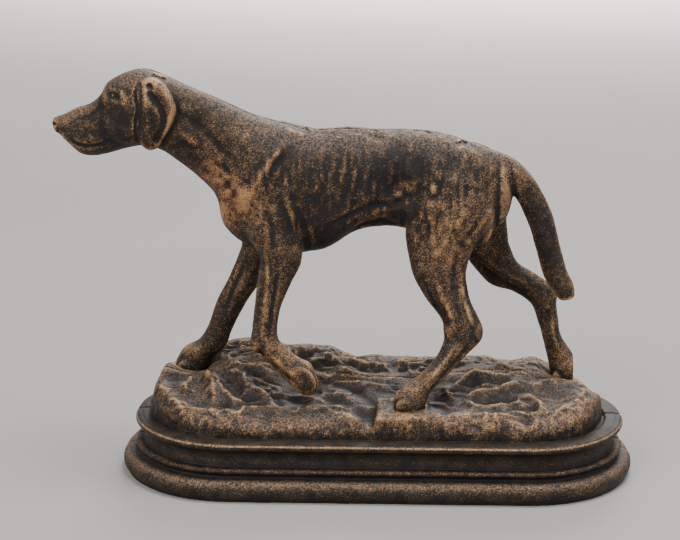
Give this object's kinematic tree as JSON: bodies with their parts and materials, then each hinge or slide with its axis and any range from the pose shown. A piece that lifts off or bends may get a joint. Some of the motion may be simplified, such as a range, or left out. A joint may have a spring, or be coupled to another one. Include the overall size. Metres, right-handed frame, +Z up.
{
  "type": "still bank",
  "caption": "Cast iron still bank: a lean hound walks over rocks on a long moulded plinth, with a coin slot along its spine and a body of two screwed half castings.",
  "frame": {"origin": "on the surface the plinth stands on, under the middle of the whole bank", "axes": "+Z up, the nose points along -X, and the seam between the two halves lies in the XZ plane with the left half on the -Y side"},
  "size_m": [0.2455, 0.097, 0.171],
  "materials": {
    "patinated_iron": "dark brown-black patina on sandy cast iron, dry-brushed with gold and copper on the raised parts",
    "screw_steel": "dull darkened steel, slotted round heads"
  },
  "bodies": {
    "left_half": {"left_half_head": "patinated_iron", "left_half_torso": "patinated_iron", "left_half_foreleg": "patinated_iron", "left_half_hind_leg": "patinated_iron", "left_half_tail": "patinated_iron", "left_half_rocks": "patinated_iron", "left_half_plinth": "patinated_iron"},
    "right_half": {"right_half_head": "patinated_iron", "right_half_torso": "patinated_iron", "right_half_foreleg": "patinated_iron", "right_half_hind_leg": "patinated_iron", "right_half_tail": "patinated_iron", "right_half_rocks": "patinated_iron", "right_half_plinth": "patinated_iron"},
    "torso_screw": {"torso_screw": "screw_steel"},
    "front_base_screw": {"front_base_screw": "screw_steel"},
    "rear_base_screw": {"rear_base_screw": "screw_steel"}
  },
  "joints": [
    {"name": "right_half_draw", "type": "slide", "parent": "left_half", "child": "right_half", "axis": [0, 1, 0], "range_m": [0, 0.06]},
    {"name": "torso_screw_draw", "type": "slide", "parent": "right_half", "child": "torso_screw", "axis": [0, 1, 0], "range_m": [0, 0.03]},
    {"name": "front_base_screw_draw", "type": "slide", "parent": "right_half", "child": "front_base_screw", "axis": [0, 1, 0], "range_m": [0, 0.055]},
    {"name": "rear_base_screw_draw", "type": "slide", "parent": "right_half", "child": "rear_base_screw", "axis": [0, 1, 0], "range_m": [0, 0.055]}
  ]
}
